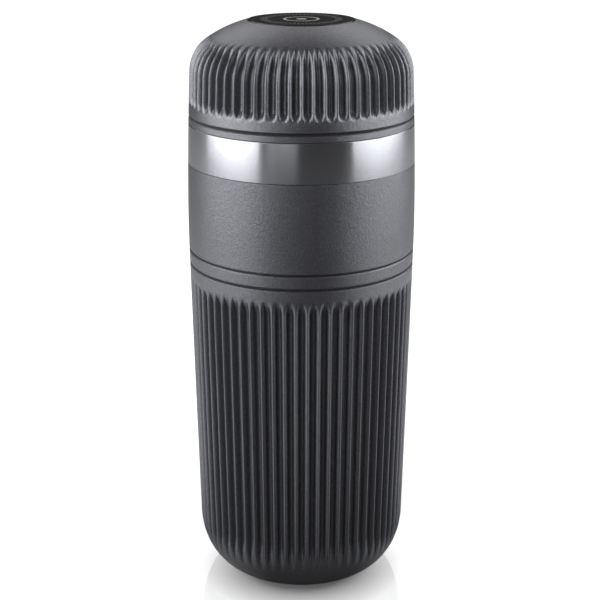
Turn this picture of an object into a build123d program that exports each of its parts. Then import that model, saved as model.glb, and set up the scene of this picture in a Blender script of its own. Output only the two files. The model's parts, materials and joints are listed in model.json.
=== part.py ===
from build123d import *
import math
import os

os.makedirs("parts", exist_ok=True)

# Nested travel kit of a handheld espresso machine: tank, collar, adapter, outlet head and cap on one axis.
# Millimetres. Z = 0 is the plane the foot stands on, +Z is up, the axis is Z and the front is -Y.

# Outer form
foot_radius = 19.1
corner_reach = 12.1
corner_height = 16.9
widest_radius = 33.05
widest_height = 108.0
lower_taper = 1.85
lower_curve = 1.15
upper_taper = 1.25
upper_curve = 1.8
shoulder_radius = 11.0
shoulder_center = (20.8, 152.5)
shoulder_start = 3.0
shoulder_end = 56.3
crown_rim_radius = 15.35
crown_rim_height = 166.8
total_height = 167.0

# Heights of the seams
tank_top = 96.95
collar_bottom = 97.45
collar_top = 101.05
adapter_bottom = 101.55
band_bottom = 126.8
band_top = 138.1
adapter_top = 140.05
cap_bottom = 140.55
edge_bevel = 0.3
band_edge_bevel = 0.15
band_gap = 0.05

# Radius and height safely beyond the outer form, for sections that it trims
beyond_radius = 40.0
beyond_height = 180.0

# Flutes; each run-out is an arc's radius and turn in degrees
flute_count = 62
flute_depth = 1.3
flute_half_width = 0.92
flute_lip = 0.4
flute_lip_depth = 0.15
flute_cutter_top = 2.0
tank_flute_full_bottom = 16.9
tank_flute_full_top = 89.0
tank_bottom_runout = (35.0, 13.5)
tank_top_runout = (6.8, -41.0)
cap_flute_full_bottom = 147.6
cap_flute_full_angle = 33.0
cap_bottom_runout = (5.6, 46.0)
cap_top_runout = 7.0

# Multi-start thread shared by every screwed joint
thread_starts = 3
thread_lead = 9.0
ridge_height = 0.9
ridge_crest_half = 0.35
ridge_root_depth = 0.45
ridge_buried_half = 0.95
socket_radius = 29.6
spigot_radius = 28.4
spigot_bore = 26.4
spigot_bevel = 0.4
male_sweep = 160.0
female_sweep = 140.0
thread_phase = 7.0
tank_thread_start = 91.5
collar_lower_thread_start = 90.0
collar_upper_thread_start = 104.2
adapter_thread_start = 102.7
neck_outer_thread_start = 143.4
neck_inner_thread_start = 143.9
head_thread_start = 142.4
cap_thread_start = 141.9

# Flat seals, and the bead that holds one in the groove above it
seal_gap = 0.05
seal_inset = 0.45
seal_bore = 29.7
bead_inner_radius = 30.6
bead_outer_radius = 31.4
bead_height = 0.9
bead_room = 0.1

# Tank
wall = 3.3
floor_height = 3.6
foot_recess_radius = 15.0
foot_recess_depth = 0.8
tank_mouth_floor = 86.0
tank_wall_top = 82.0
tank_wall_middle = 50.0

# Collar
lower_spigot_end = 88.3
upper_spigot_end = 109.3
cup_seat_height = 107.9
cup_seat_radius = 27.4

# Baskets
sheet = 0.4
basket_mouth_radius = 23.4
basket_floor_radius = 21.6
single_height = 13.0
single_flange_radius = 24.8
nest_pitch = 5.5
double_height = 26.0
double_floor_radius = 22.6
double_flange_radius = 28.4
basket_corner = 1.2
basket_lift = 0.4
hole_radius = 0.45
hole_rings = 4
hole_ring_step = 4.4

# Storage cup
cup_outer_radius = 26.3
cup_wall = 1.2
cup_bottom = 74.0
cup_top = 109.1
cup_corner = 3.0
cup_lip_radius = 27.3

# Adapter core
chamber_radius = 24.6
shoulder_height = 111.5
chamber_wall = 2.2
skirt_radius = 31.5
gap_radius = 29.9
band_thickness = 0.9
ledge_height = 139.6
neck_bore = 26.0
neck_top = 149.3
skirt_top = 113.7
basket_gasket_radius = 26.9
basket_gasket_width = 3.0
basket_gasket_thickness = 1.0
basket_gasket_drop = 1.05

# Outlet head
head_radius = 24.8
head_bottom = 140.2
head_top = 148.2
head_wall = 2.0
head_floor = 2.4
head_channel = 0.6
head_sweep = 120.0
boss_foot_radius = 6.6
boss_radius = 5.6
boss_top = 147.6
boss_bore = 3.0
outlet_radius = 2.0
outlet_seat = 143.0
rib_count = 6
rib_length = 17.4
rib_thickness = 1.6
rib_height = 4.0
rib_middle_radius = 14.4
screen_radius = 23.8
screen_thickness = 0.45
screen_gap = 0.05
screen_hole_radius = 0.6
screen_ring_step = 4.0
screen_rings = 5
outlet_gasket_radius = 24.45
outlet_gasket_width = 1.0
outlet_gasket_thickness = 0.5
nozzle_bore = 1.5
nozzle_radius = 2.95
nozzle_flange_radius = 4.6
nozzle_flange_top = 149.0
nozzle_tip_radius = 2.4
nozzle_top = 152.5

# Scoop and tamper
scoop_bottom = 3.95
scoop_top = 32.0
scoop_radius = 23.9
scoop_wall = 1.2
scoop_corner = 5.0
handle_bottom = 14.0
handle_top = 62.0
handle_width = 12.0
handle_thickness = 2.4
handle_inset = 1.0
handle_hole_radius = 2.4
tamper_radius = 22.2
tamper_bottom = 9.6
tamper_rim = 2.6
tamper_edge = 0.4
tamper_plate = 4.0
stem_foot_radius = 8.0
stem_radius = 5.0
stem_height = 9.0
knob_radius = 12.0
knob_height = 20.5
tamper_height = 26.0

# Cap
cap_ceiling = 163.2
cap_ceiling_radius = 13.5
cap_inner_shoulder = (19.6, 162.2)
cap_inner_corner = 5.8
cap_inner_side = (28.5, 155.6)
cap_inner_wall = (28.95, 152.0)
cap_thread_top = 149.8
disc_gap = 0.05
disc_room = 0.1
disc_radius = 15.2
disc_thickness = 1.0


def barrel_radius(height):
    """Radius of the smooth outer form between the base corner and the cap's shoulder."""
    if height < widest_height:
        fall = (widest_height - height) / (widest_height - corner_height)
        return widest_radius - lower_taper * fall ** lower_curve
    fall = (height - widest_height) / (shoulder_center[1] - widest_height)
    return widest_radius - upper_taper * fall ** upper_curve


def barrel_point(height):
    """Point of the smooth outer form at one height."""
    return (barrel_radius(height), height)


def barrel_lean(height):
    """Upward direction along the smooth outer form at one height."""
    return (barrel_radius(height + 0.1) - barrel_radius(height - 0.1), 0.2)


def shoulder_point(angle):
    """Point on the cap's rounded shoulder."""
    turn = math.radians(angle)
    return (
        shoulder_center[0] + shoulder_radius * math.cos(turn),
        shoulder_center[1] + shoulder_radius * math.sin(turn),
    )


def outer_edges(part, height):
    """The outermost circular edge at one height."""
    level = part.edges().filter_by(GeomType.CIRCLE)
    level = level.filter_by_position(Axis.Z, height - 0.01, height + 0.01)
    return level.sort_by(SortBy.RADIUS)[-1]


def thread_ridge(root_radius, start_height, sweep_angle, direction):
    """One helical ridge on a cylinder; direction is 1 for outside, -1 for inside."""
    with BuildPart() as ridge:
        with BuildLine() as helix:
            Helix(
                pitch=thread_lead,
                height=thread_lead * sweep_angle / 360.0,
                radius=root_radius,
                center=(0, 0, start_height),
            )
        start = helix.line
        section_plane = Plane(origin=start @ 0, x_dir=(1, 0, 0), z_dir=start % 0)
        with BuildSketch(section_plane):
            with BuildLine():
                Polyline(
                    (-ridge_root_depth * direction, -ridge_buried_half),
                    (ridge_height * direction, -ridge_crest_half),
                    (ridge_height * direction, ridge_crest_half),
                    (-ridge_root_depth * direction, ridge_buried_half),
                    close=True,
                )
            make_face()
        sweep(path=helix.line, is_frenet=True)
    return ridge.part


def flute_cutter(path):
    """Round-bottomed groove with bevelled lips, swept along a path that lies on the outer form."""
    along = path % 0
    outward = Vector(abs(along.Z), 0, -along.X * math.copysign(1, along.Z))
    with BuildPart() as cutter:
        with BuildSketch(Plane(origin=path @ 0, x_dir=outward, z_dir=along)):
            with BuildLine():
                Polyline(
                    (flute_half_width - flute_depth, flute_half_width),
                    (-flute_lip_depth, flute_half_width),
                    (flute_lip - flute_lip_depth, flute_half_width + flute_lip),
                    (flute_cutter_top, flute_half_width + flute_lip),
                    (flute_cutter_top, -flute_half_width - flute_lip),
                    (flute_lip - flute_lip_depth, -flute_half_width - flute_lip),
                    (-flute_lip_depth, -flute_half_width),
                    (flute_half_width - flute_depth, -flute_half_width),
                )
                ThreePointArc(
                    (flute_half_width - flute_depth, -flute_half_width),
                    (-flute_depth, 0),
                    (flute_half_width - flute_depth, flute_half_width),
                )
            make_face()
        sweep(path=path)
    return cutter.part


# Half section of the whole outer form, used to trim every visible piece
shoulder_first = shoulder_point(shoulder_start)
shoulder_last = shoulder_point(shoulder_end)
shoulder_turn = math.radians(shoulder_end)
barrel_heights = [corner_height, 35.0, 55.0, 75.0, 92.0, 108.0, 120.0, 131.0, 142.0]
with BuildSketch(Plane.XZ) as envelope:
    with BuildLine():
        Line((0, 0), (foot_radius, 0))
        EllipticalCenterArc(
            center=(foot_radius, corner_height),
            x_radius=corner_reach,
            y_radius=corner_height,
            start_angle=270,
            arc_size=90,
        )
        Spline(*[barrel_point(height) for height in barrel_heights], shoulder_first)
        CenterArc(
            center=shoulder_center,
            radius=shoulder_radius,
            start_angle=shoulder_start,
            arc_size=shoulder_end - shoulder_start,
        )
        TangentArc(
            shoulder_last,
            (crown_rim_radius, crown_rim_height),
            tangent=(-math.sin(shoulder_turn), math.cos(shoulder_turn)),
        )
        Line((crown_rim_radius, crown_rim_height), (0, crown_rim_height))
        Line((0, crown_rim_height), (0, 0))
    make_face()

# Groove paths: on the surface where the flute is full, curving outwards where it runs out
bottom_lean = barrel_lean(tank_flute_full_bottom)
top_lean = barrel_lean(tank_flute_full_top)
cap_lean = barrel_lean(cap_flute_full_bottom)
shoulder_lean = (-math.sin(math.radians(shoulder_start)), math.cos(math.radians(shoulder_start)))
tank_flute_heights = [tank_flute_full_bottom, 35.0, 55.0, 75.0, tank_flute_full_top]
with BuildLine(Plane.XZ) as tank_flute_path:
    JernArc(
        start=barrel_point(tank_flute_full_bottom),
        tangent=(-bottom_lean[0], -bottom_lean[1]),
        radius=tank_bottom_runout[0],
        arc_size=tank_bottom_runout[1],
    )
    Spline(
        *[barrel_point(height) for height in tank_flute_heights],
        tangents=(bottom_lean, top_lean),
    )
    JernArc(
        start=barrel_point(tank_flute_full_top),
        tangent=top_lean,
        radius=tank_top_runout[0],
        arc_size=tank_top_runout[1],
    )
cap_flute_last = shoulder_point(cap_flute_full_angle)
cap_flute_turn = math.radians(cap_flute_full_angle)
with BuildLine(Plane.XZ) as cap_flute_path:
    JernArc(
        start=barrel_point(cap_flute_full_bottom),
        tangent=(-cap_lean[0], -cap_lean[1]),
        radius=cap_bottom_runout[0],
        arc_size=cap_bottom_runout[1],
    )
    Spline(
        barrel_point(cap_flute_full_bottom),
        shoulder_first,
        tangents=(cap_lean, shoulder_lean),
    )
    CenterArc(
        center=shoulder_center,
        radius=shoulder_radius,
        start_angle=shoulder_start,
        arc_size=cap_flute_full_angle - shoulder_start,
    )
    Line(
        cap_flute_last,
        (
            cap_flute_last[0] - cap_top_runout * math.sin(cap_flute_turn),
            cap_flute_last[1] + cap_top_runout * math.cos(cap_flute_turn),
        ),
    )
tank_flute = flute_cutter(Wire(tank_flute_path.edges()))
cap_flute = flute_cutter(Wire(cap_flute_path.edges()))

# Tank: one moulding with a flat foot, a threaded mouth and flutes all round
with BuildPart() as tank_shell:
    with BuildSketch(Plane.XZ) as tank_section:
        with BuildLine():
            Polyline(
                (foot_recess_radius, 0),
                (beyond_radius, 0),
                (beyond_radius, tank_top),
                (socket_radius, tank_top),
                (socket_radius, tank_mouth_floor),
                (barrel_radius(tank_wall_top) - wall, tank_wall_top),
            )
            Spline(
                (barrel_radius(tank_wall_top) - wall, tank_wall_top),
                (barrel_radius(tank_wall_middle) - wall, tank_wall_middle),
                (barrel_radius(corner_height) - wall, corner_height),
            )
            EllipticalCenterArc(
                center=(foot_radius, corner_height),
                x_radius=barrel_radius(corner_height) - wall - foot_radius,
                y_radius=corner_height - floor_height,
                start_angle=270,
                arc_size=90,
            )
            Polyline(
                (foot_radius, floor_height),
                (0, floor_height),
                (0, foot_recess_depth),
                (foot_recess_radius, foot_recess_depth),
                (foot_recess_radius, 0),
            )
        make_face()
        add(envelope.sketch_local, mode=Mode.INTERSECT)
    revolve(axis=Axis.Z)
    chamfer(outer_edges(tank_shell.part, tank_top), edge_bevel)
    with PolarLocations(0, flute_count, start_angle=-90):
        add(tank_flute, mode=Mode.SUBTRACT)
    with PolarLocations(0, thread_starts, start_angle=thread_phase):
        add(thread_ridge(socket_radius, tank_thread_start, female_sweep, -1))
tank_shell.part.label = "tank_shell"
export_step(tank_shell.part, "parts/tank_shell.step")

# Flat silicone seal on the tank's rim, with a bead that sits in the collar's underside
with BuildPart() as tank_seal:
    with BuildSketch(Plane.XZ):
        with BuildLine():
            Polyline(
                (seal_bore, tank_top + seal_gap),
                (barrel_radius(tank_top) - seal_inset, tank_top + seal_gap),
                (barrel_radius(tank_top) - seal_inset, collar_bottom - seal_gap),
                (bead_outer_radius, collar_bottom - seal_gap),
                (bead_outer_radius, collar_bottom + bead_height),
                (bead_inner_radius, collar_bottom + bead_height),
                (bead_inner_radius, collar_bottom - seal_gap),
                (seal_bore, collar_bottom - seal_gap),
                close=True,
            )
        make_face()
    revolve(axis=Axis.Z)
tank_seal.part.label = "tank_seal"
export_step(tank_seal.part, "parts/tank_seal.step")

# Narrow collar: threaded spigot down into the tank and another up into the adapter
with BuildPart() as collar_ring:
    with BuildSketch(Plane.XZ):
        with BuildLine():
            Polyline(
                (spigot_bore, lower_spigot_end),
                (spigot_radius - spigot_bevel, lower_spigot_end),
                (spigot_radius, lower_spigot_end + spigot_bevel),
                (spigot_radius, collar_bottom),
                (bead_inner_radius - bead_room, collar_bottom),
                (bead_inner_radius - bead_room, collar_bottom + bead_height + bead_room),
                (bead_outer_radius + bead_room, collar_bottom + bead_height + bead_room),
                (bead_outer_radius + bead_room, collar_bottom),
                (beyond_radius, collar_bottom),
                (beyond_radius, collar_top),
                (spigot_radius, collar_top),
                (spigot_radius, upper_spigot_end - spigot_bevel),
                (spigot_radius - spigot_bevel, upper_spigot_end),
                (cup_seat_radius, upper_spigot_end),
                (cup_seat_radius, cup_seat_height),
                (spigot_bore, cup_seat_height),
                close=True,
            )
        make_face()
        add(envelope.sketch_local, mode=Mode.INTERSECT)
    revolve(axis=Axis.Z)
    chamfer(outer_edges(collar_ring.part, collar_bottom), edge_bevel)
    chamfer(outer_edges(collar_ring.part, collar_top), edge_bevel)
    with PolarLocations(0, thread_starts, start_angle=thread_phase):
        add(thread_ridge(spigot_radius, collar_lower_thread_start, male_sweep, 1))
        add(thread_ridge(spigot_radius, collar_upper_thread_start, male_sweep, 1))
collar_ring.part.label = "collar_ring"
export_step(collar_ring.part, "parts/collar_ring.step")

# Thin cup that hangs in the collar by its lip
with BuildPart() as storage_cup:
    with BuildSketch(Plane.XZ):
        with BuildLine():
            Polyline(
                (0, cup_bottom),
                (cup_outer_radius - cup_corner, cup_bottom),
                (cup_outer_radius, cup_bottom + cup_corner),
                (cup_outer_radius, cup_seat_height + seal_gap),
                (cup_lip_radius, cup_seat_height + seal_gap),
                (cup_lip_radius, cup_top),
                (cup_outer_radius - cup_wall, cup_top),
                (cup_outer_radius - cup_wall, cup_bottom + cup_corner + cup_wall / 2),
                (cup_outer_radius - cup_corner - cup_wall / 2, cup_bottom + cup_wall),
                (0, cup_bottom + cup_wall),
                close=True,
            )
        make_face()
    revolve(axis=Axis.Z)
storage_cup.part.label = "storage_cup"
export_step(storage_cup.part, "parts/storage_cup.step")

# Flat silicone seal under the adapter
with BuildPart() as collar_seal:
    with BuildSketch(Plane.XZ):
        with BuildLine():
            Polyline(
                (seal_bore, collar_top + seal_gap),
                (barrel_radius(collar_top) - seal_inset, collar_top + seal_gap),
                (barrel_radius(collar_top) - seal_inset, adapter_bottom - seal_gap),
                (seal_bore, adapter_bottom - seal_gap),
                close=True,
            )
        make_face()
    revolve(axis=Axis.Z)
collar_seal.part.label = "collar_seal"
export_step(collar_seal.part, "parts/collar_seal.step")


def filter_basket(floor_z, height, floor_radius, flange_radius):
    """Pressed sheet basket standing on its floor, with rings of small holes in the floor."""
    with BuildPart() as basket:
        with BuildSketch(Plane.XZ):
            with BuildLine():
                Polyline(
                    (0, floor_z),
                    (floor_radius - basket_corner, floor_z),
                    (floor_radius, floor_z + basket_corner),
                    (basket_mouth_radius, floor_z + height - sheet),
                    (flange_radius, floor_z + height - sheet),
                    (flange_radius, floor_z + height),
                    (basket_mouth_radius - sheet, floor_z + height),
                    (floor_radius - sheet, floor_z + basket_corner + sheet / 4),
                    (floor_radius - basket_corner - sheet / 4, floor_z + sheet),
                    (0, floor_z + sheet),
                    close=True,
                )
            make_face()
        revolve(axis=Axis.Z)
        with BuildSketch(Plane.XY.offset(floor_z - 1)):
            Circle(hole_radius)
            for ring in range(1, hole_rings + 1):
                with PolarLocations(ring * hole_ring_step, 6 * ring):
                    Circle(hole_radius)
        extrude(amount=2 + sheet, mode=Mode.SUBTRACT)
    return basket.part


# Two spare baskets nested in the storage cup
lower_floor = cup_bottom + cup_wall + basket_lift
with BuildPart() as spare_basket_lower:
    add(filter_basket(lower_floor, single_height, basket_floor_radius, single_flange_radius))
spare_basket_lower.part.label = "spare_basket_lower"
export_step(spare_basket_lower.part, "parts/spare_basket_lower.step")

upper_floor = lower_floor + nest_pitch
with BuildPart() as spare_basket_upper:
    add(filter_basket(upper_floor, single_height, basket_floor_radius, single_flange_radius))
spare_basket_upper.part.label = "spare_basket_upper"
export_step(spare_basket_upper.part, "parts/spare_basket_upper.step")

# Measuring scoop with an upright strap handle
with BuildPart() as scoop:
    with BuildSketch(Plane.XZ):
        with BuildLine():
            Line((0, scoop_bottom), (scoop_radius - scoop_corner, scoop_bottom))
            CenterArc(
                center=(scoop_radius - scoop_corner, scoop_bottom + scoop_corner),
                radius=scoop_corner,
                start_angle=270,
                arc_size=90,
            )
            Polyline(
                (scoop_radius, scoop_bottom + scoop_corner),
                (scoop_radius, scoop_top),
                (scoop_radius - scoop_wall, scoop_top),
                (scoop_radius - scoop_wall, scoop_bottom + scoop_corner),
            )
            CenterArc(
                center=(scoop_radius - scoop_corner, scoop_bottom + scoop_corner),
                radius=scoop_corner - scoop_wall,
                start_angle=270,
                arc_size=90,
            )
            Polyline(
                (scoop_radius - scoop_corner, scoop_bottom + scoop_wall),
                (0, scoop_bottom + scoop_wall),
                (0, scoop_bottom),
            )
        make_face()
    revolve(axis=Axis.Z)
    with BuildSketch(Plane.YZ.offset(scoop_radius - handle_inset)):
        with Locations((0, (handle_bottom + handle_top) / 2)):
            RectangleRounded(handle_width, handle_top - handle_bottom, handle_width / 2 - 0.1)
        with Locations((0, handle_top - handle_width / 2)):
            Circle(handle_hole_radius, mode=Mode.SUBTRACT)
    extrude(amount=handle_thickness)
scoop.part.label = "scoop"
export_step(scoop.part, "parts/scoop.step")

# Tamper: a flat disc with a stem and a round knob
with BuildPart() as tamper:
    with BuildSketch(Plane.XZ):
        with BuildLine():
            Polyline(
                (0, tamper_bottom + tamper_height),
                (0, tamper_bottom),
                (tamper_radius - tamper_edge, tamper_bottom),
                (tamper_radius, tamper_bottom + tamper_edge),
                (tamper_radius, tamper_bottom + tamper_rim),
                (tamper_radius - 2 * tamper_edge, tamper_bottom + tamper_rim + 1.5 * tamper_edge),
                (stem_foot_radius, tamper_bottom + tamper_plate),
            )
            Spline(
                (stem_foot_radius, tamper_bottom + tamper_plate),
                (stem_radius, tamper_bottom + stem_height),
                (0.8 * knob_radius, tamper_bottom + 0.78 * knob_height),
                (knob_radius, tamper_bottom + knob_height),
                (0.75 * knob_radius, tamper_bottom + tamper_height - 1.0),
                (0, tamper_bottom + tamper_height),
                tangents=((-1, 0.1), (-1, 0)),
            )
        make_face()
    revolve(axis=Axis.Z)
tamper.part.label = "tamper"
export_step(tamper.part, "parts/tamper.step")

# Adapter: smooth shell, cut back behind the steel band
with BuildPart() as adapter_shell:
    with BuildSketch(Plane.XZ):
        with BuildLine():
            Polyline(
                (skirt_radius, adapter_bottom),
                (beyond_radius, adapter_bottom),
                (beyond_radius, band_bottom),
                (barrel_radius(band_top) - band_thickness - 2 * band_gap, band_bottom),
                (barrel_radius(band_top) - band_thickness - 2 * band_gap, band_top),
                (gap_radius, band_top),
                (gap_radius, skirt_top),
                (skirt_radius, skirt_top),
                close=True,
            )
        make_face()
        add(envelope.sketch_local, mode=Mode.INTERSECT)
    revolve(axis=Axis.Z)
    chamfer(outer_edges(adapter_shell.part, adapter_bottom), edge_bevel)
    chamfer(outer_edges(adapter_shell.part, band_bottom), band_edge_bevel)
adapter_shell.part.label = "adapter_shell"
export_step(adapter_shell.part, "parts/adapter_shell.step")

with BuildPart() as steel_band:
    with BuildSketch(Plane.XZ):
        with BuildLine():
            Polyline(
                (barrel_radius(band_top) - band_thickness, band_bottom + band_gap),
                (beyond_radius, band_bottom + band_gap),
                (beyond_radius, band_top),
                (barrel_radius(band_top) - band_thickness, band_top),
                close=True,
            )
        make_face()
        add(envelope.sketch_local, mode=Mode.INTERSECT)
    revolve(axis=Axis.Z)
    chamfer(outer_edges(steel_band.part, band_bottom + band_gap), band_edge_bevel)
    chamfer(outer_edges(steel_band.part, band_top), band_edge_bevel)
steel_band.part.label = "steel_band"
export_step(steel_band.part, "parts/steel_band.step")

# Narrow ring that holds the band down
with BuildPart() as adapter_rim:
    with BuildSketch(Plane.XZ):
        with BuildLine():
            Polyline(
                (gap_radius, band_top + band_gap),
                (beyond_radius, band_top + band_gap),
                (beyond_radius, adapter_top),
                (gap_radius, adapter_top),
                close=True,
            )
        make_face()
        add(envelope.sketch_local, mode=Mode.INTERSECT)
    revolve(axis=Axis.Z)
    chamfer(outer_edges(adapter_rim.part, band_top + band_gap), band_edge_bevel)
    chamfer(outer_edges(adapter_rim.part, adapter_top), edge_bevel)
adapter_rim.part.label = "adapter_rim"
export_step(adapter_rim.part, "parts/adapter_rim.step")

# Inner moulding: threaded skirt, basket chamber, deck and neck
with BuildPart() as adapter_core:
    with BuildSketch(Plane.XZ):
        with BuildLine():
            Polyline(
                (socket_radius, adapter_bottom),
                (skirt_radius, adapter_bottom),
                (skirt_radius, skirt_top),
                (chamber_radius + chamber_wall, skirt_top),
                (chamber_radius + chamber_wall, band_top),
                (gap_radius, band_top),
                (gap_radius, adapter_top),
                (spigot_radius, adapter_top),
                (spigot_radius, neck_top - spigot_bevel),
                (spigot_radius - spigot_bevel, neck_top),
                (neck_bore, neck_top),
                (neck_bore, ledge_height),
                (chamber_radius, ledge_height),
                (chamber_radius, shoulder_height),
                (socket_radius, shoulder_height),
                close=True,
            )
        make_face()
    revolve(axis=Axis.Z)
    with PolarLocations(0, thread_starts, start_angle=thread_phase):
        add(thread_ridge(socket_radius, adapter_thread_start, female_sweep, -1))
        add(thread_ridge(spigot_radius, neck_outer_thread_start, male_sweep, 1))
        add(thread_ridge(neck_bore, neck_inner_thread_start, head_sweep, -1))
adapter_core.part.label = "adapter_core"
export_step(adapter_core.part, "parts/adapter_core.step")

# Large basket stored mouth down in the adapter, and the gasket under its flange
double_floor = shoulder_height + double_height - sheet - seal_gap
with BuildPart() as double_basket:
    with Locations(Location((0, 0, double_floor), (180, 0, 0))):
        add(filter_basket(0.0, double_height, double_floor_radius, double_flange_radius))
double_basket.part.label = "double_basket"
export_step(double_basket.part, "parts/double_basket.step")

with BuildPart() as basket_gasket:
    with BuildSketch(Plane.XZ):
        with Locations((basket_gasket_radius, shoulder_height - basket_gasket_drop)):
            Rectangle(basket_gasket_width, basket_gasket_thickness)
    revolve(axis=Axis.Z)
basket_gasket.part.label = "basket_gasket"
export_step(basket_gasket.part, "parts/basket_gasket.step")

# Outlet head: threaded skirt, floor with finger ribs and a central boss
with BuildPart() as outlet_head:
    with BuildSketch(Plane.XZ):
        with BuildLine():
            Polyline(
                (outlet_radius, head_bottom),
                (head_radius, head_bottom),
                (head_radius, head_top - spigot_bevel),
                (head_radius - spigot_bevel, head_top),
                (head_radius - head_wall, head_top),
                (head_radius - head_wall, head_bottom + head_floor),
                (head_radius - head_wall - head_channel, head_bottom + head_floor - head_channel),
                (boss_foot_radius, head_bottom + head_floor),
                (boss_radius, boss_top),
                (boss_bore, boss_top),
                (boss_bore, outlet_seat),
                (outlet_radius, outlet_seat),
                close=True,
            )
        make_face()
    revolve(axis=Axis.Z)
    with BuildSketch(Plane.XY.offset(head_bottom + head_floor - 1.5 * head_channel)):
        with PolarLocations(rib_middle_radius, rib_count):
            Rectangle(rib_length, rib_thickness)
    extrude(amount=rib_height)
    with PolarLocations(0, thread_starts, start_angle=thread_phase):
        add(thread_ridge(head_radius, head_thread_start, head_sweep, 1))
outlet_head.part.label = "outlet_head"
export_step(outlet_head.part, "parts/outlet_head.step")

with BuildPart() as outlet_screen:
    with BuildSketch(Plane.XY.offset(head_bottom - screen_gap - screen_thickness)):
        Circle(screen_radius)
        for ring in range(1, screen_rings + 1):
            with PolarLocations(ring * screen_ring_step, 6 * ring):
                Circle(screen_hole_radius, mode=Mode.SUBTRACT)
    extrude(amount=screen_thickness)
outlet_screen.part.label = "outlet_screen"
export_step(outlet_screen.part, "parts/outlet_screen.step")

with BuildPart() as outlet_gasket:
    with BuildSketch(Plane.XZ):
        with Locations((outlet_gasket_radius, ledge_height + seal_gap + outlet_gasket_thickness / 2)):
            Rectangle(outlet_gasket_width, outlet_gasket_thickness)
    revolve(axis=Axis.Z)
outlet_gasket.part.label = "outlet_gasket"
export_step(outlet_gasket.part, "parts/outlet_gasket.step")

with BuildPart() as outlet_nozzle:
    with BuildSketch(Plane.XZ):
        with BuildLine():
            Polyline(
                (nozzle_bore, outlet_seat + 2 * seal_gap),
                (nozzle_radius, outlet_seat + 2 * seal_gap),
                (nozzle_radius, boss_top + 2 * seal_gap),
                (nozzle_flange_radius, boss_top + 2 * seal_gap),
                (nozzle_flange_radius, nozzle_flange_top),
                (nozzle_tip_radius + 1.0, nozzle_flange_top + 0.6),
                (nozzle_tip_radius + 0.3, nozzle_top - 0.3),
                (nozzle_tip_radius, nozzle_top),
                (nozzle_bore, nozzle_top),
                close=True,
            )
        make_face()
    revolve(axis=Axis.Z)
outlet_nozzle.part.label = "outlet_nozzle"
export_step(outlet_nozzle.part, "parts/outlet_nozzle.step")

# Cap: fluted dome, threaded inside, with a recess for the disc in its crown
with BuildPart() as cap_shell:
    with BuildSketch(Plane.XZ):
        with BuildLine():
            Polyline(
                (socket_radius, cap_bottom),
                (bead_inner_radius - bead_room, cap_bottom),
                (bead_inner_radius - bead_room, cap_bottom + bead_height + bead_room),
                (bead_outer_radius + bead_room, cap_bottom + bead_height + bead_room),
                (bead_outer_radius + bead_room, cap_bottom),
                (beyond_radius, cap_bottom),
                (beyond_radius, beyond_height),
                (disc_radius + disc_room, beyond_height),
                (disc_radius + disc_room, total_height - disc_thickness - disc_gap),
                (0, total_height - disc_thickness - disc_gap),
                (0, cap_ceiling),
                (cap_ceiling_radius, cap_ceiling),
            )
            ThreePointArc(
                (cap_ceiling_radius, cap_ceiling),
                cap_inner_shoulder,
                (shoulder_center[0] + cap_inner_corner, shoulder_center[1] + cap_inner_corner),
            )
            ThreePointArc(
                (shoulder_center[0] + cap_inner_corner, shoulder_center[1] + cap_inner_corner),
                cap_inner_side,
                cap_inner_wall,
            )
            Polyline(cap_inner_wall, (socket_radius, cap_thread_top), (socket_radius, cap_bottom))
        make_face()
        add(envelope.sketch_local, mode=Mode.INTERSECT)
    revolve(axis=Axis.Z)
    chamfer(outer_edges(cap_shell.part, cap_bottom), edge_bevel)
    with PolarLocations(0, flute_count, start_angle=-90 + 180 / flute_count):
        add(cap_flute, mode=Mode.SUBTRACT)
    with PolarLocations(0, thread_starts, start_angle=thread_phase):
        add(thread_ridge(socket_radius, cap_thread_start, female_sweep, -1))
cap_shell.part.label = "cap_shell"
export_step(cap_shell.part, "parts/cap_shell.step")

with BuildPart() as cap_disc:
    with BuildSketch(Plane.XY.offset(total_height - disc_thickness)):
        Circle(disc_radius)
    extrude(amount=disc_thickness)
    chamfer(outer_edges(cap_disc.part, total_height), band_edge_bevel)
cap_disc.part.label = "cap_disc"
export_step(cap_disc.part, "parts/cap_disc.step")

with BuildPart() as cap_seal:
    with BuildSketch(Plane.XZ):
        with BuildLine():
            Polyline(
                (seal_bore, adapter_top + seal_gap),
                (barrel_radius(cap_bottom) - seal_inset, adapter_top + seal_gap),
                (barrel_radius(cap_bottom) - seal_inset, cap_bottom - seal_gap),
                (bead_outer_radius, cap_bottom - seal_gap),
                (bead_outer_radius, cap_bottom + bead_height),
                (bead_inner_radius, cap_bottom + bead_height),
                (bead_inner_radius, cap_bottom - seal_gap),
                (seal_bore, cap_bottom - seal_gap),
                close=True,
            )
        make_face()
    revolve(axis=Axis.Z)
cap_seal.part.label = "cap_seal"
export_step(cap_seal.part, "parts/cap_seal.step")
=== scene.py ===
"""Looks of the nested espresso travel kit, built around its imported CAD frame.

Metres, +Z up, front is -Y. Noise scales are features per metre. Bump depths and edge radii are metres.
"""
import json
import math

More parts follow.
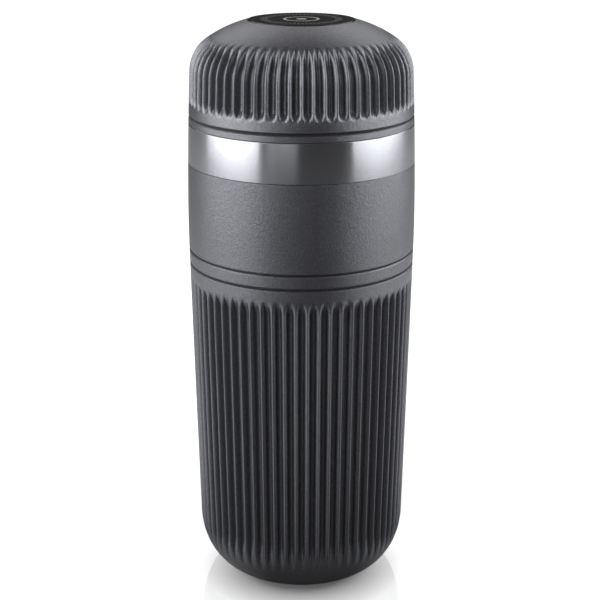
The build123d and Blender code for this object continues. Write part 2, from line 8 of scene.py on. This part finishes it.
import bmesh
import bpy
import numpy as np
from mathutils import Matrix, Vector

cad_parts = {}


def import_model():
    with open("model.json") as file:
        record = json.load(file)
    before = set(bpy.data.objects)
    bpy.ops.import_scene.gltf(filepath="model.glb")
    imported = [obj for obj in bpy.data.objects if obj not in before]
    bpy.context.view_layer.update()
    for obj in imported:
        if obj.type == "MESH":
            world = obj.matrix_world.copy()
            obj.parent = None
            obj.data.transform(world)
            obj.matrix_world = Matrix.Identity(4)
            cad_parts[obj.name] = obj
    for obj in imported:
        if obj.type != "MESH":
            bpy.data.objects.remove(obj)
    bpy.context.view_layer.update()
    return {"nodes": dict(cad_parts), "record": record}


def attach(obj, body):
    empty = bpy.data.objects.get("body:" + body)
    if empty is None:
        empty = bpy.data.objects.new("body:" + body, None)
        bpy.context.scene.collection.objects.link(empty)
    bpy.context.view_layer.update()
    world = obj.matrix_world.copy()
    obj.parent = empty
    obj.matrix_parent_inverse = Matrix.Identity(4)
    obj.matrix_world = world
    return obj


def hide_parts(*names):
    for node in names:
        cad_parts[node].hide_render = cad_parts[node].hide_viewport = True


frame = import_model()

# Camera, fitted to the photographed outline: focal length in image pixels, distances in metres
IMAGE_WIDTH_PX = 600
FOCAL_PX = 1412.0
SENSOR_MM = 36.0
CAMERA_DISTANCE = 0.42257
CAMERA_ELEVATION = math.radians(18.12)
TARGET_HEIGHT = 0.08388
TARGET_SIDE = -0.00042

WHITE = (1.0, 1.0, 1.0, 1.0)


# ---------------------------------------------------------------- materials
class Material:
    """A material under construction: its nodes, its links and its main shader."""

    def __init__(self, name):
        self.data = bpy.data.materials.new(name)
        self.data.use_nodes = True
        self.tree = self.data.node_tree
        self.shader = self.tree.nodes["Principled BSDF"]

    def node(self, kind, **settings):
        made = self.tree.nodes.new(kind)
        for key, value in settings.items():
            setattr(made, key, value)
        return made

    def link(self, source, target):
        self.tree.links.new(source, target)

    def set(self, **values):
        for key, value in values.items():
            self.shader.inputs[key.replace("_", " ")].default_value = value

    def place(self):
        """Coordinates fixed to the piece, in metres."""
        return self.node("ShaderNodeTexCoord").outputs["Object"]

    def place_parts(self):
        """X, Y and Z of the coordinates fixed to the piece."""
        split = self.node("ShaderNodeSeparateXYZ")
        self.link(self.place(), split.inputs["Vector"])
        return [split.outputs[axis] for axis in "XYZ"]

    def noise(self, scale, detail=2.0, roughness=0.5, vector=None):
        """Soft noise, nearly all of it between 0.3 and 0.7."""
        made = self.node("ShaderNodeTexNoise")
        made.inputs["Scale"].default_value = scale
        made.inputs["Detail"].default_value = detail
        made.inputs["Roughness"].default_value = roughness
        self.link(vector or self.place(), made.inputs["Vector"])
        return made.outputs["Fac"]

    def remap(self, value, low, high, new_low, new_high):
        """Straight ramp from new_low at low to new_high at high, level beyond both."""
        made = self.node("ShaderNodeMapRange")
        made.inputs["From Min"].default_value = low
        made.inputs["From Max"].default_value = high
        made.inputs["To Min"].default_value = new_low
        made.inputs["To Max"].default_value = new_high
        self.link(value, made.inputs["Value"])
        return made.outputs["Result"]

    def blend_colors(self, fac, first, second):
        made = self.node("ShaderNodeMix", data_type="RGBA")
        made.inputs["A"].default_value = first
        made.inputs["B"].default_value = second
        self.link(fac, made.inputs["Factor"])
        return made.outputs["Result"]

    def math(self, operation, first, second=None):
        made = self.node("ShaderNodeMath", operation=operation)
        for socket, value in zip(made.inputs, (first, second)):
            if value is None:
                continue
            if isinstance(value, (int, float)):
                socket.default_value = value
            else:
                self.link(value, socket)
        return made.outputs["Value"]

    def within(self, value, middle, half_width):
        """1 where value is within half_width of middle, else 0."""
        off = self.math("ABSOLUTE", self.math("SUBTRACT", value, middle))
        return self.math("LESS_THAN", off, half_width)

    def bump(self, height, distance, strength, base):
        made = self.node("ShaderNodeBump")
        made.inputs["Distance"].default_value = distance
        made.inputs["Strength"].default_value = strength
        self.link(height, made.inputs["Height"])
        self.link(base, made.inputs["Normal"])
        return made.outputs["Normal"]

    def rounded_edges(self, radius):
        made = self.node("ShaderNodeBevel", samples=6)
        made.inputs["Radius"].default_value = radius
        return made.outputs["Normal"]


def soft_touch_plastic():
    """Dark grey rubbery coat with a fine speckle and glints, and a faint, uneven sheen."""
    speckle_scale, sheen_scale, glint_scale = 1900.0, 60.0, 1700.0
    speckle_depth, speckle_strength, edge_radius = 0.00013, 0.7, 0.00012
    dark, light = (0.011, 0.011, 0.0135, 1), (0.021, 0.021, 0.0245, 1)
    low_roughness, high_roughness = 0.35, 0.39
    low_glint, high_glint = 0.43, 0.57
    coat_index = 2.1
    cool_tint = (0.9, 0.92, 1.0, 1)

    mat = Material("soft_touch_grey")
    speckle = mat.noise(speckle_scale, detail=3.0, roughness=0.7)
    sheen = mat.noise(sheen_scale, detail=2.0)
    color = mat.blend_colors(mat.remap(speckle, 0.32, 0.68, 0.0, 1.0), dark, light)
    mat.link(color, mat.shader.inputs["Base Color"])
    roughness = mat.remap(sheen, 0.3, 0.7, low_roughness, high_roughness)
    mat.link(roughness, mat.shader.inputs["Roughness"])
    grain = mat.bump(speckle, speckle_depth, speckle_strength, mat.rounded_edges(edge_radius))
    mat.link(grain, mat.shader.inputs["Normal"])
    mat.set(IOR=coat_index, Specular_Tint=cool_tint)
    glint = mat.noise(glint_scale, detail=2.0)
    reflection = mat.remap(glint, 0.33, 0.67, low_glint, high_glint)
    mat.link(reflection, mat.shader.inputs["Specular IOR Level"])
    return mat.data


def steel(name, color, roughness, brush_scale, brush_depth, metallic=1.0):
    """Steel with a fine brush running round the axis and faint smudges."""
    brush_run = 0.004
    smudge_scale = 45.0
    edge_radius = 0.0001
    dark, light = tuple(level * 0.9 for level in color) + (1,), color + (1,)

    mat = Material(name)
    x, y, z = mat.place_parts()
    angle = mat.math("ARCTAN2", y, x)
    join = mat.node("ShaderNodeCombineXYZ")
    mat.link(mat.math("MULTIPLY", angle, brush_run), join.inputs["X"])
    mat.link(z, join.inputs["Z"])
    brush = mat.noise(brush_scale, detail=4.0, roughness=0.7, vector=join.outputs["Vector"])
    smudge = mat.noise(smudge_scale, detail=3.0)
    shade = mat.blend_colors(mat.remap(brush, 0.3, 0.7, 0.0, 1.0), dark, light)
    mat.link(shade, mat.shader.inputs["Base Color"])
    smudged = mat.remap(smudge, 0.3, 0.7, roughness * 0.85, roughness * 1.2)
    mat.link(smudged, mat.shader.inputs["Roughness"])
    brushed = mat.bump(brush, brush_depth, 0.4, mat.rounded_edges(edge_radius))
    mat.link(brushed, mat.shader.inputs["Normal"])
    mat.set(Metallic=metallic)
    return mat.data


def moulded_plastic(name, dark, light, low_roughness, high_roughness):
    """Satin moulding, or silicone, with a fine spark texture; dark and light are RGB."""
    grain_scale, cloud_scale = 1500.0, 80.0
    grain_depth, edge_radius = 0.00005, 0.0002

    mat = Material(name)
    grain = mat.noise(grain_scale, detail=3.0, roughness=0.6)
    cloud = mat.noise(cloud_scale)
    color = mat.blend_colors(mat.remap(grain, 0.35, 0.65, 0, 1), dark + (1,), light + (1,))
    mat.link(color, mat.shader.inputs["Base Color"])
    roughness = mat.remap(cloud, 0.3, 0.7, low_roughness, high_roughness)
    mat.link(roughness, mat.shader.inputs["Roughness"])
    texture = mat.bump(grain, grain_depth, 0.4, mat.rounded_edges(edge_radius))
    mat.link(texture, mat.shader.inputs["Normal"])
    return mat.data


def marked_gloss():
    """Gloss black with plain printed marks about its centre: a dot, a thin ring and a band of ticks."""
    dot_radius = 0.0015
    ring_radius, ring_half_width = 0.0048, 0.0004
    ticks_radius, ticks_half_length = 0.0106, 0.001
    tick_count, tick_gap, tick_level = 60, 0.3, 0.4
    haze_scale = 900.0
    edge_radius = 0.0002
    dark, light = (0.004, 0.004, 0.0045, 1), (0.007, 0.007, 0.0075, 1)
    ink = (0.5, 0.49, 0.46, 1)

    mat = Material("gloss_black")
    x, y, _ = mat.place_parts()
    squares = mat.math("ADD", mat.math("MULTIPLY", x, x), mat.math("MULTIPLY", y, y))
    radius = mat.math("SQRT", squares)
    dot = mat.math("LESS_THAN", radius, dot_radius)
    ring = mat.within(radius, ring_radius, ring_half_width)
    band = mat.within(radius, ticks_radius, ticks_half_length)
    wave = mat.math("SINE", mat.math("MULTIPLY", mat.math("ARCTAN2", y, x), tick_count))
    ticks = mat.math("MULTIPLY", band, mat.math("GREATER_THAN", wave, tick_gap))
    full_marks = mat.math("MAXIMUM", dot, ring)
    marks = mat.math("MAXIMUM", full_marks, mat.math("MULTIPLY", ticks, tick_level))
    haze = mat.noise(haze_scale, detail=3.0)
    color = mat.blend_colors(marks, dark, ink)
    mat.link(mat.blend_colors(haze, dark, light), color.node.inputs["A"])
    mat.link(color, mat.shader.inputs["Base Color"])
    mat.link(mat.remap(haze, 0.3, 0.7, 0.08, 0.12), mat.shader.inputs["Roughness"])
    mat.link(mat.rounded_edges(edge_radius), mat.shader.inputs["Normal"])
    return mat.data


finishes = {
    "soft_touch_grey": soft_touch_plastic(),
    "band_steel": steel("band_steel", (0.355, 0.36, 0.385), 0.15, 9000.0, 0.000008, 0.93),
    "stainless_sheet": steel("stainless_sheet", (0.66, 0.655, 0.64), 0.28, 5000.0, 0.00002),
    "black_plastic": moulded_plastic(
        "black_plastic", (0.013, 0.013, 0.014), (0.022, 0.022, 0.023), 0.38, 0.5
    ),
    "black_silicone": moulded_plastic(
        "black_silicone", (0.004, 0.004, 0.005), (0.007, 0.007, 0.008), 0.6, 0.75
    ),
    "grey_silicone": moulded_plastic(
        "grey_silicone", (0.16, 0.16, 0.165), (0.2, 0.2, 0.205), 0.5, 0.6
    ),
    "gloss_black": marked_gloss(),
}

for part in frame["record"]["subparts"]:
    piece = frame["nodes"][part["node"]]
    piece.data.materials.clear()
    piece.data.materials.append(finishes[part["material_slot"]])


# ---------------------------------------------------------------- fluted shells
# The outer form of the tank and the cap, in millimetres: a flat foot, an elliptical corner, a body that
# is widest at one height and tapers both ways, a round shoulder and a crown arc up to the disc's recess.
# The grooves reach down the corner to about CORNER_GROOVED degrees, and rows are closer from there up.
MM = 0.001
FOOT_RADIUS = 19.1
CORNER_REACH = 12.1
CORNER_HEIGHT = 16.9
CORNER_GROOVED = -38
WIDEST_RADIUS = 33.05
WIDEST_HEIGHT = 108.0
LOWER_TAPER, LOWER_CURVE = 1.85, 1.15
UPPER_TAPER, UPPER_CURVE = 1.25, 1.8
SHOULDER_RADIUS = 11.0
SHOULDER_RING, SHOULDER_HEIGHT = 20.8, 152.5
SHOULDER_START, SHOULDER_END = math.radians(3.0), math.radians(56.3)
CROWN_RING, CROWN_HEIGHT = 15.35, 166.8
TANK_RIM = 96.65
CAP_RIM = 140.85
CAP_SIDE_END = 153
FINE_CROWN_LENGTH = 4.0

# The grooves: a shallow valley over the share GROOVE_FLOOR of the pitch, and a ridge over the rest.
# A lower RIDGE_POWER makes the ridge more pointed. RIDGE_TURNS, in degrees, spaces points on its side.
FLUTES = 62
SOLID_FLUTE_DEPTH = 1.3
FLUTE_DEPTH = 1.55
VALLEY_DEPTH = 0.35
GROOVE_FLOOR = 0.43
RIDGE_POWER = 1.4
RIDGE_TURNS = (0, 15, 30, 45, 60, 75, 84)

# Heights where the grooves begin and end, and between which they have their full depth. The cap's
# grooves end on its shoulder and crown, so the last two are lengths up those from the shoulder's start.
TANK_GROOVE_START, TANK_FULL_START = 7.5, 17.5
TANK_FULL_END, TANK_GROOVE_END = 88.8, 93.9
CAP_GROOVE_START, CAP_FULL_START = 143.4, 146.2
CAP_FULL_END, CAP_GROOVE_END = 6.4, 12.6

# A vertex of the CAD mesh belongs to the outer skin within SKIN_REACH of the outer form, END_REACH past
# its ends and CROWN_REACH inside the crown's ring, in millimetres
SKIN_REACH = SOLID_FLUTE_DEPTH + 0.1
END_REACH = 0.002
CROWN_REACH = 0.02

# Vertices within SAME_POINT metres are one, and edges that bend by more than SHARP_ANGLE stay sharp
SAME_POINT = 1e-7
SHARP_ANGLE = math.radians(35)


def barrel_radius(height):
    """Radius of the body below the shoulder, without grooves."""
    if height < WIDEST_HEIGHT:
        fall = (WIDEST_HEIGHT - height) / (WIDEST_HEIGHT - CORNER_HEIGHT)
        return WIDEST_RADIUS - LOWER_TAPER * fall**LOWER_CURVE
    fall = (height - WIDEST_HEIGHT) / (SHOULDER_HEIGHT - WIDEST_HEIGHT)
    return WIDEST_RADIUS - UPPER_TAPER * fall**UPPER_CURVE


def spaced(start, end, count):
    """Even steps from start up to, but without, end."""
    return [start + (end - start) * step / count for step in range(count)]


def rising(value, none, full):
    """Soft step from 0 where value is at none to 1 where it is at full."""
    share = min(max((value - none) / (full - none), 0), 1)
    return share * share * (3 - 2 * share)


def tank_rows():
    """Rows of the tank's outer surface from foot to rim.

    A row is its radius, its height, its outward normal (out and up) and the strength of its grooves.
    """
    rows = []
    for angle in spaced(-90, CORNER_GROOVED, 8) + spaced(CORNER_GROOVED, 0, 24):
        turn = math.radians(angle)
        height = CORNER_HEIGHT * (1 + math.sin(turn))
        normal = Vector((math.cos(turn) / CORNER_REACH, math.sin(turn) / CORNER_HEIGHT)).normalized()
        radius = FOOT_RADIUS + CORNER_REACH * math.cos(turn)
        strength = rising(height, TANK_GROOVE_START, TANK_FULL_START)
        rows.append((radius, height, normal.x, normal.y, strength))
    heights = spaced(CORNER_HEIGHT, TANK_FULL_END, 12) + spaced(TANK_FULL_END, TANK_GROOVE_END, 18)
    for height in heights + spaced(TANK_GROOVE_END, TANK_RIM, 3) + [TANK_RIM]:
        strength = rising(height, TANK_GROOVE_START, TANK_FULL_START)
        strength *= rising(height, TANK_GROOVE_END, TANK_FULL_END)
        rows.append((barrel_radius(height), height, 1, 0, strength))
    return rows


def cap_rows():
    """Rows of the cap's outer surface from its rim to the crown, as for the tank."""
    rows = []
    heights = spaced(CAP_RIM, CAP_GROOVE_START, 3) + spaced(CAP_GROOVE_START, CAP_FULL_START, 15)
    for height in heights + spaced(CAP_FULL_START, CAP_SIDE_END, 4):
        strength = rising(height, CAP_GROOVE_START, CAP_FULL_START)
        rows.append((barrel_radius(height), height, 1, 0, strength))
    bend_start = CAP_FULL_END / SHOULDER_RADIUS
    for angle in spaced(SHOULDER_START, bend_start, 9) + spaced(bend_start, SHOULDER_END, 14):
        point = shoulder_point(angle)
        strength = rising(SHOULDER_RADIUS * angle, CAP_GROOVE_END, CAP_FULL_END)
        rows.append((point.x, point.y, math.cos(angle), math.sin(angle), strength))
    # The crown is the arc that goes on smoothly from the shoulder and ends at the disc's recess
    start = shoulder_point(SHOULDER_END)
    normal = Vector((math.cos(SHOULDER_END), math.sin(SHOULDER_END)))
    chord = start - Vector((CROWN_RING, CROWN_HEIGHT))
    radius = chord.length_squared / (2 * normal.dot(chord))
    center = start - normal * radius
    last = math.atan2(CROWN_HEIGHT - center.y, CROWN_RING - center.x)
    fine_end = SHOULDER_END + FINE_CROWN_LENGTH / radius
    for angle in spaced(SHOULDER_END, fine_end, 14) + spaced(fine_end, last, 8) + [last]:
        point = center + radius * Vector((math.cos(angle), math.sin(angle)))
        length = SHOULDER_RADIUS * SHOULDER_END + radius * (angle - SHOULDER_END)
        strength = rising(length, CAP_GROOVE_END, CAP_FULL_END)
        rows.append((point.x, point.y, math.cos(angle), math.sin(angle), strength))
    return rows


def shoulder_point(angle):
    """Radius and height of the shoulder where its normal rises by angle."""
    return Vector((
        SHOULDER_RING + SHOULDER_RADIUS * math.cos(angle),
        SHOULDER_HEIGHT + SHOULDER_RADIUS * math.sin(angle),
    ))


def groove_depth(reach):
    """Depth at a share of the half pitch from the groove's middle line; at 1 is the ridge's crest."""
    if reach < GROOVE_FLOOR:
        return FLUTE_DEPTH + VALLEY_DEPTH * (1 - reach / GROOVE_FLOOR)
    climb = (1 - reach) / (1 - GROOVE_FLOOR)
    return FLUTE_DEPTH * (1 - math.sqrt(1 - climb**RIDGE_POWER))


def skin_ring(row, first_angle):
    """Points of one row of the fluted surface, all the way round."""
    radius, height, out, up, strength = row
    half_angle = math.pi / FLUTES
    ridge = [1 - (1 - GROOVE_FLOOR) * math.cos(math.radians(turn)) for turn in RIDGE_TURNS]
    right_half = [0, GROOVE_FLOOR / 2] + ridge
    left_half = [-1] + [-across for across in reversed(right_half[1:])]
    points = []
    for flute in range(FLUTES):
        middle = first_angle + 2 * half_angle * flute
        for across in left_half + right_half:
            sunk = strength * groove_depth(abs(across))
            angle = middle + half_angle * across
            reach = (radius - sunk * out) * MM
            points.append((reach * math.cos(angle), reach * math.sin(angle), (height - sunk * up) * MM))
    return points


def near_skin(mesh, rows):
    """For each vertex, whether it lies on the outer surface or in one of its grooves."""
    places = np.array([vertex.co for vertex in mesh.verts]) / MM
    flat = np.column_stack((np.hypot(places[:, 0], places[:, 1]), places[:, 2]))
    profile = np.array([row[:2] for row in rows])
    nearest = np.full(len(flat), np.inf)
    for start, end in zip(profile[:-1], profile[1:]):
        side = end - start
        share = np.clip((flat - start) @ side / (side @ side), 0, 1)
        nearest = np.minimum(nearest, np.linalg.norm(flat - start - share[:, None] * side, axis=1))
    low, high = profile[:, 1].min() - END_REACH, profile[:, 1].max() + END_REACH
    inside = (flat[:, 1] > low) & (flat[:, 1] < high) & (flat[:, 0] > CROWN_RING - CROWN_REACH)
    return (nearest < SKIN_REACH) & inside


def round_flutes(node, body, rows, first_angle):
    """Replaces a shell by one with the same inside and rim and a skin of rounded flutes."""
    mesh = bmesh.new()
    mesh.from_mesh(frame["nodes"][node].data)
    bmesh.ops.remove_doubles(mesh, verts=mesh.verts, dist=SAME_POINT)
    outside = near_skin(mesh, rows)
    mesh.verts.index_update()
    old = [face for face in mesh.faces if all(outside[vertex.index] for vertex in face.verts)]
    bmesh.ops.delete(mesh, geom=old, context="FACES")
    rings = [[mesh.verts.new(point) for point in skin_ring(row, first_angle)] for row in rows]
    for lower, upper in zip(rings[:-1], rings[1:]):
        for index in range(len(lower)):
            after = (index + 1) % len(lower)
            mesh.faces.new((lower[index], lower[after], upper[after], upper[index]))
    shell = bpy.data.meshes.new(node + "_fluted")
    mesh.to_mesh(shell)
    mesh.free()
    shell.shade_smooth()
    shell.set_sharp_from_angle(angle=SHARP_ANGLE)
    piece = bpy.data.objects.new(node + "_fluted", shell)
    bpy.context.scene.collection.objects.link(piece)
    shell.materials.append(finishes["soft_touch_grey"])
    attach(piece, body)
    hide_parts(node)


round_flutes("tank_shell", "tank", tank_rows(), -math.pi / 2)
round_flutes("cap_shell", "cap", cap_rows(), -math.pi / 2 + math.pi / FLUTES)


# ---------------------------------------------------------------- stage
def floor():
    """White table top with a faint mirror image of the object and a partly painted shadow, pure white
    away from them.

    The camera sees it lit. The lamps' real shadow falls on its dim tone, and a painted shadow darkens it
    further: a glow that is weak near the painted shadow's centre and grows outwards. Everything else
    sees a painted dark top in front of the object and a painted, lighter and glowing one beside it,
    which gives the object's upright walls their dark middle and lighter sides. Ranges are metres from
    the painted shadow's centre, or radians round the object from its front.
    """
    size, drop = 6.0, 0.00005
    # Painted shadow: to the camera the top glows dim near this centre and brighter further out
    painted_shadow_center = (0, -0.008, 0)
    painted_shadow_edge, painted_shadow_glow = (0.016, 0.031), (0.08, 0.88)
    far_edge, far_glow = (0.05, 0.18), (0.0, 0.18)
    dark_azimuth, dark_to_light = 0.14, (0.55, 1.2)
    bounce_near, bounce_far, bounce_level = (0.055, 0.095), (0.16, 0.36), 0.95
    seen_tone, unseen_tones = 0.25, (0.1, 0.4)
    mirror_edge, mirror_level, mirror_roughness = (0.055, 0.085), 0.24, 0.05

    bpy.ops.mesh.primitive_plane_add(size=size, location=(0, 0, -drop))
    table = bpy.context.object
    table.name = "floor"
    finish = Material("floor")
    finish.set(Roughness=0.5, Specular_IOR_Level=0.0, Emission_Color=WHITE)
    gap = finish.node("ShaderNodeVectorMath", operation="DISTANCE")
    finish.link(finish.place(), gap.inputs[0])
    gap.inputs[1].default_value = painted_shadow_center
    distance = gap.outputs["Value"]
    seen = finish.node("ShaderNodeLightPath").outputs["Is Camera Ray"]
    unseen = finish.math("SUBTRACT", 1, seen)

    def either(to_camera, to_others):
        shown = finish.math("MULTIPLY", seen, to_camera)
        return finish.math("ADD", shown, finish.math("MULTIPLY", unseen, to_others))

    # Painted shadow: the glow the camera sees, dim near the centre and rising outwards
    painted_shadow = finish.remap(distance, *painted_shadow_edge, *painted_shadow_glow)
    far = finish.remap(distance, *far_edge, *far_glow)
    # Painted reflection and bounce light: for everything but the camera the top glows beside the object,
    # not in front of it
    x, y, _ = finish.place_parts()
    azimuth = finish.math("ARCTAN2", x, finish.math("MULTIPLY", y, -1))
    off_dark = finish.math("ABSOLUTE", finish.math("SUBTRACT", azimuth, dark_azimuth))
    aside = finish.remap(off_dark, *dark_to_light, 0.0, 1.0)
    fading = finish.math("MULTIPLY", aside, finish.remap(distance, *bounce_far, bounce_level, 0.0))
    bounce = finish.math("MULTIPLY", fading, finish.remap(distance, *bounce_near, 0.0, 1.0))
    glow = either(finish.math("ADD", painted_shadow, far), bounce)
    finish.link(glow, finish.shader.inputs["Emission Strength"])
    # Painted reflection: for everything but the camera the top is dark in front of the object and light
    # beside it
    tone = either(seen_tone, finish.remap(aside, 0.0, 1.0, *unseen_tones))
    finish.link(tone, finish.shader.inputs["Base Color"])
    mirror = finish.node("ShaderNodeBsdfGlossy")
    mirror.inputs["Roughness"].default_value = mirror_roughness
    blend = finish.node("ShaderNodeMixShader")
    share = finish.math("MULTIPLY", seen, finish.remap(distance, *mirror_edge, mirror_level, 0.0))
    finish.link(share, blend.inputs["Fac"])
    finish.link(finish.shader.outputs["BSDF"], blend.inputs[1])
    finish.link(mirror.outputs["BSDF"], blend.inputs[2])
    finish.link(blend.outputs["Shader"], finish.tree.nodes["Material Output"].inputs["Surface"])
    table.data.materials.append(finish.data)


def back_card():
    """White card high behind the object, glowing and hidden from diffuse light, for the table top's
    mirror image to show.
    """
    place, size, tilt = (0, 2.0, 1.1), (0.9, 0.5, 1.0), math.radians(60)
    bpy.ops.mesh.primitive_plane_add(size=1.0, location=place)
    card = bpy.context.object
    card.name = "back_card"
    card.scale = size
    card.rotation_euler = (tilt, 0, 0)
    card.visible_diffuse = False
    glow = Material("back_card")
    glow.set(Base_Color=(0, 0, 0, 1), Emission_Color=WHITE, Emission_Strength=1.0)
    card.data.materials.append(glow.data)


# Soft boxes: name, azimuth and elevation in degrees, distance, width, height, watts
LAMPS = (
    ("left_box", -74, 14, 0.75, 1.0, 1.0, 14.2),
    ("right_box", 87, 14, 0.75, 1.15, 1.0, 13.5),
    ("front_strip", -19, 12, 0.9, 0.5, 0.9, 1.2),
    ("back_left_box", -150, 42, 0.8, 0.5, 0.5, 1.1),
    ("back_right_box", 150, 42, 0.8, 0.5, 0.5, 1.1),
    ("top_box", 0, 84, 0.9, 0.7, 0.7, 0.2),
)
LAMP_TARGET = Vector((0, 0, 0.09))
ROOM_LIGHT = 0.05


def lamp(name, azimuth, elevation, distance, width, height, watts):
    """Soft box aimed at the object's middle; azimuth 0 is the camera's side, positive to its right."""
    data = bpy.data.lights.new(name, "AREA")
    data.shape = "RECTANGLE"
    data.size = width
    data.size_y = height
    data.energy = watts
    box = bpy.data.objects.new(name, data)
    bpy.context.scene.collection.objects.link(box)
    turn = math.radians(azimuth)
    lift = math.radians(elevation)
    away = Vector((math.sin(turn) * math.cos(lift), -math.cos(turn) * math.cos(lift), math.sin(lift)))
    box.location = LAMP_TARGET + away * distance
    box.rotation_euler = (-away).to_track_quat("-Z", "Y").to_euler()


def world():
    """White to the camera, a dim room as a light and in reflections."""
    sky = bpy.data.worlds.new("studio")
    bpy.context.scene.world = sky
    sky.use_nodes = True
    tree = sky.node_tree
    back = tree.nodes["Background"]
    path = tree.nodes.new("ShaderNodeLightPath")
    seen = tree.nodes.new("ShaderNodeMath")
    seen.operation = "MAXIMUM"
    tree.links.new(path.outputs["Is Camera Ray"], seen.inputs[0])
    tree.links.new(path.outputs["Is Transmission Ray"], seen.inputs[1])
    level = tree.nodes.new("ShaderNodeMapRange")
    level.inputs["To Min"].default_value = ROOM_LIGHT
    level.inputs["To Max"].default_value = 1.0
    tree.links.new(seen.outputs["Value"], level.inputs["Value"])
    tree.links.new(level.outputs["Result"], back.inputs["Strength"])
    back.inputs["Color"].default_value = WHITE


def camera():
    """The photograph's view: level across, looking down at the object's axis."""
    data = bpy.data.cameras.new("camera")
    data.sensor_fit = "HORIZONTAL"
    data.sensor_width = SENSOR_MM
    data.lens = FOCAL_PX / IMAGE_WIDTH_PX * SENSOR_MM
    data.clip_start = 0.01
    eye = bpy.data.objects.new("camera", data)
    bpy.context.scene.collection.objects.link(eye)
    eye.location = (
        TARGET_SIDE,
        -CAMERA_DISTANCE * math.cos(CAMERA_ELEVATION),
        TARGET_HEIGHT + CAMERA_DISTANCE * math.sin(CAMERA_ELEVATION),
    )
    eye.rotation_euler = (math.pi / 2 - CAMERA_ELEVATION, 0, 0)
    bpy.context.scene.camera = eye


floor()
back_card()
world()
for settings in LAMPS:
    lamp(*settings)
camera()
bpy.context.scene.view_settings.view_transform = "Standard"
